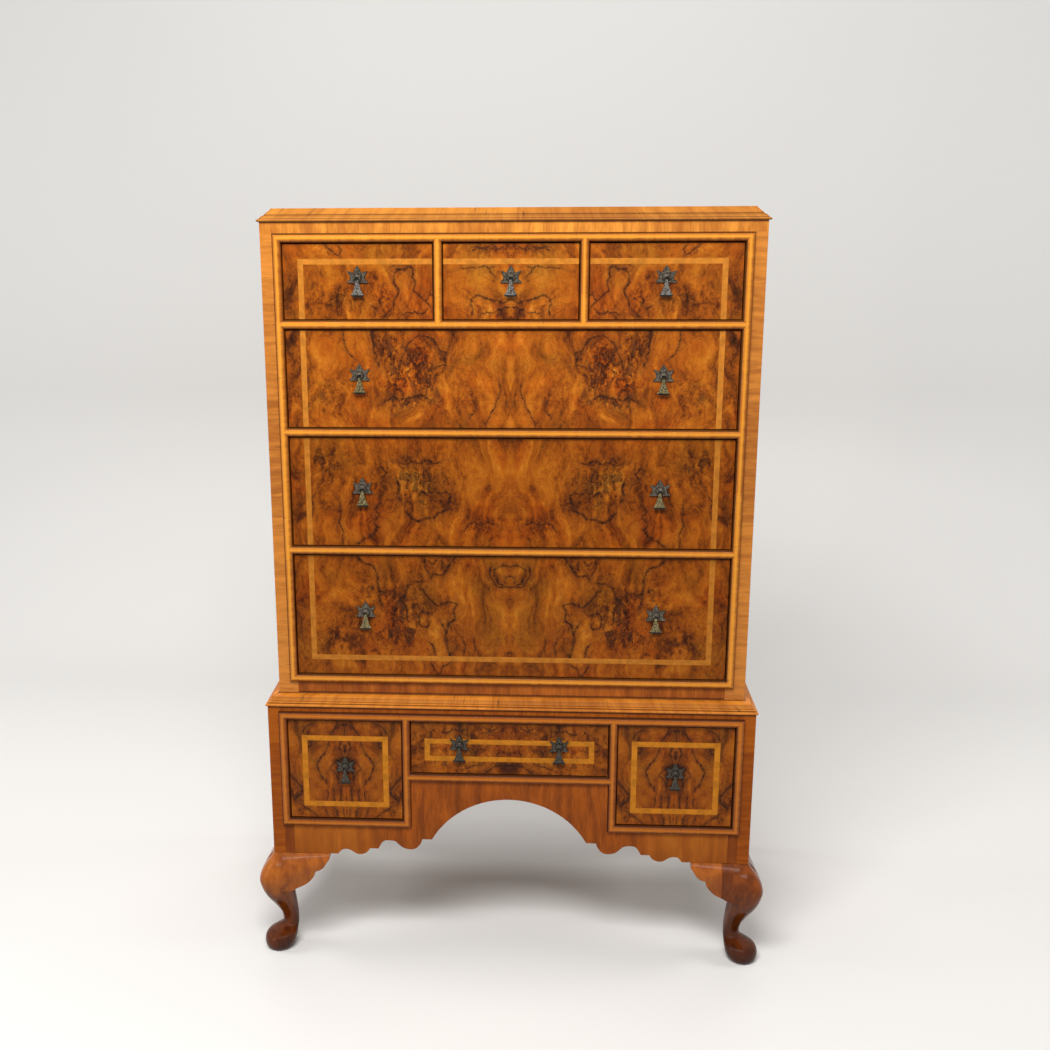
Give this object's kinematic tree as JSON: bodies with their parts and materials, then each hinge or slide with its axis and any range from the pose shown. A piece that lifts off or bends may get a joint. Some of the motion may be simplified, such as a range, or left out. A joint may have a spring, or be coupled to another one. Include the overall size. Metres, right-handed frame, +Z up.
{
  "type": "tallboy chest of drawers",
  "caption": "Walnut tallboy: a bead-edged case of small and long drawers over a low stand with deep and shallow drawers, a shaped apron and cabriole front legs.",
  "frame": {"origin": "on the floor, at the middle of the whole tallboy's width and depth", "axes": "+Z up, the drawers' fronts face -Y, +X to the right of someone facing them"},
  "size_m": [0.973, 0.4894, 1.421],
  "materials": {
    "burr_walnut": "high gloss french polish over figured walnut veneer",
    "polished_walnut": "gloss polish on solid walnut, stained darker",
    "drawer_oak": "bare planed oak",
    "back_ply": "bare board",
    "antique_brass": "dark antique patina, polished on the raised parts"
  },
  "bodies": {
    "carcass": {"cornice_top": "burr_walnut", "upper_side_left": "burr_walnut", "upper_side_right": "burr_walnut", "upper_back": "back_ply", "small_drawer_frame": "burr_walnut", "upper_rail": "burr_walnut", "lower_rail": "burr_walnut", "upper_base": "burr_walnut", "waist_moulding": "burr_walnut", "stand_side_left": "burr_walnut", "stand_side_right": "burr_walnut", "stand_back": "back_ply", "stand_frame": "burr_walnut", "apron": "burr_walnut", "front_leg_left": "polished_walnut", "front_leg_right": "polished_walnut"},
    "small_left_drawer": {"small_left_front": "burr_walnut", "small_left_tray": "drawer_oak", "small_left_plate": "antique_brass"},
    "small_middle_drawer": {"small_middle_front": "burr_walnut", "small_middle_tray": "drawer_oak", "small_middle_plate": "antique_brass"},
    "small_right_drawer": {"small_right_front": "burr_walnut", "small_right_tray": "drawer_oak", "small_right_plate": "antique_brass"},
    "long_upper_drawer": {"long_upper_front": "burr_walnut", "long_upper_tray": "drawer_oak", "long_upper_left_plate": "antique_brass", "long_upper_right_plate": "antique_brass"},
    "long_middle_drawer": {"long_middle_front": "burr_walnut", "long_middle_tray": "drawer_oak", "long_middle_left_plate": "antique_brass", "long_middle_right_plate": "antique_brass"},
    "long_lower_drawer": {"long_lower_front": "burr_walnut", "long_lower_tray": "drawer_oak", "long_lower_left_plate": "antique_brass", "long_lower_right_plate": "antique_brass"},
    "deep_left_drawer": {"deep_left_front": "burr_walnut", "deep_left_tray": "drawer_oak", "deep_left_plate": "antique_brass"},
    "deep_right_drawer": {"deep_right_front": "burr_walnut", "deep_right_tray": "drawer_oak", "deep_right_plate": "antique_brass"},
    "shallow_drawer": {"shallow_front": "burr_walnut", "shallow_tray": "drawer_oak", "shallow_left_plate": "antique_brass", "shallow_right_plate": "antique_brass"},
    "small_left_pull": {"small_left_drop": "antique_brass"},
    "small_middle_pull": {"small_middle_drop": "antique_brass"},
    "small_right_pull": {"small_right_drop": "antique_brass"},
    "long_upper_left_pull": {"long_upper_left_drop": "antique_brass"},
    "long_upper_right_pull": {"long_upper_right_drop": "antique_brass"},
    "long_middle_left_pull": {"long_middle_left_drop": "antique_brass"},
    "long_middle_right_pull": {"long_middle_right_drop": "antique_brass"},
    "long_lower_left_pull": {"long_lower_left_drop": "antique_brass"},
    "long_lower_right_pull": {"long_lower_right_drop": "antique_brass"},
    "deep_left_pull": {"deep_left_drop": "antique_brass"},
    "deep_right_pull": {"deep_right_drop": "antique_brass"},
    "shallow_left_pull": {"shallow_left_drop": "antique_brass"},
    "shallow_right_pull": {"shallow_right_drop": "antique_brass"}
  },
  "joints": [
    {"name": "small_left_slide", "type": "slide", "parent": "carcass", "child": "small_left_drawer", "axis": [0, -1, 0], "range_m": [0, 0.28]},
    {"name": "small_middle_slide", "type": "slide", "parent": "carcass", "child": "small_middle_drawer", "axis": [0, -1, 0], "range_m": [0, 0.28]},
    {"name": "small_right_slide", "type": "slide", "parent": "carcass", "child": "small_right_drawer", "axis": [0, -1, 0], "range_m": [0, 0.28]},
    {"name": "long_upper_slide", "type": "slide", "parent": "carcass", "child": "long_upper_drawer", "axis": [0, -1, 0], "range_m": [0, 0.28]},
    {"name": "long_middle_slide", "type": "slide", "parent": "carcass", "child": "long_middle_drawer", "axis": [0, -1, 0], "range_m": [0, 0.28]},
    {"name": "long_lower_slide", "type": "slide", "parent": "carcass", "child": "long_lower_drawer", "axis": [0, -1, 0], "range_m": [0, 0.28]},
    {"name": "deep_left_slide", "type": "slide", "parent": "carcass", "child": "deep_left_drawer", "axis": [0, -1, 0], "range_m": [0, 0.29]},
    {"name": "deep_right_slide", "type": "slide", "parent": "carcass", "child": "deep_right_drawer", "axis": [0, -1, 0], "range_m": [0, 0.29]},
    {"name": "shallow_slide", "type": "slide", "parent": "carcass", "child": "shallow_drawer", "axis": [0, -1, 0], "range_m": [0, 0.29]},
    {"name": "small_left_pull_hinge", "type": "hinge", "parent": "small_left_drawer", "child": "small_left_pull", "pos_m": [-0.2675, -0.20075, 1.3025], "axis": [-1, 0, 0], "range_deg": [0, 80]},
    {"name": "small_middle_pull_hinge", "type": "hinge", "parent": "small_middle_drawer", "child": "small_middle_pull", "pos_m": [0, -0.20075, 1.3025], "axis": [-1, 0, 0], "range_deg": [0, 80]},
    {"name": "small_right_pull_hinge", "type": "hinge", "parent": "small_right_drawer", "child": "small_right_pull", "pos_m": [0.2675, -0.20075, 1.3025], "axis": [-1, 0, 0], "range_deg": [0, 80]},
    {"name": "long_upper_left_pull_hinge", "type": "hinge", "parent": "long_upper_drawer", "child": "long_upper_left_pull", "pos_m": [-0.268, -0.20075, 1.132], "axis": [-1, 0, 0], "range_deg": [0, 80]},
    {"name": "long_upper_right_pull_hinge", "type": "hinge", "parent": "long_upper_drawer", "child": "long_upper_right_pull", "pos_m": [0.268, -0.20075, 1.132], "axis": [-1, 0, 0], "range_deg": [0, 80]},
    {"name": "long_middle_left_pull_hinge", "type": "hinge", "parent": "long_middle_drawer", "child": "long_middle_left_pull", "pos_m": [-0.268, -0.20075, 0.92625], "axis": [-1, 0, 0], "range_deg": [0, 80]},
    {"name": "long_middle_right_pull_hinge", "type": "hinge", "parent": "long_middle_drawer", "child": "long_middle_right_pull", "pos_m": [0.268, -0.20075, 0.92625], "axis": [-1, 0, 0], "range_deg": [0, 80]},
    {"name": "long_lower_left_pull_hinge", "type": "hinge", "parent": "long_lower_drawer", "child": "long_lower_left_pull", "pos_m": [-0.268, -0.20075, 0.69125], "axis": [-1, 0, 0], "range_deg": [0, 80]},
    {"name": "long_lower_right_pull_hinge", "type": "hinge", "parent": "long_lower_drawer", "child": "long_lower_right_pull", "pos_m": [0.268, -0.20075, 0.69125], "axis": [-1, 0, 0], "range_deg": [0, 80]},
    {"name": "deep_left_pull_hinge", "type": "hinge", "parent": "deep_left_drawer", "child": "deep_left_pull", "pos_m": [-0.312, -0.22075, 0.3875], "axis": [-1, 0, 0], "range_deg": [0, 80]},
    {"name": "deep_right_pull_hinge", "type": "hinge", "parent": "deep_right_drawer", "child": "deep_right_pull", "pos_m": [0.312, -0.22075, 0.3875], "axis": [-1, 0, 0], "range_deg": [0, 80]},
    {"name": "shallow_left_pull_hinge", "type": "hinge", "parent": "shallow_drawer", "child": "shallow_left_pull", "pos_m": [-0.094, -0.22075, 0.4365], "axis": [-1, 0, 0], "range_deg": [0, 80]},
    {"name": "shallow_right_pull_hinge", "type": "hinge", "parent": "shallow_drawer", "child": "shallow_right_pull", "pos_m": [0.094, -0.22075, 0.4365], "axis": [-1, 0, 0], "range_deg": [0, 80]}
  ]
}
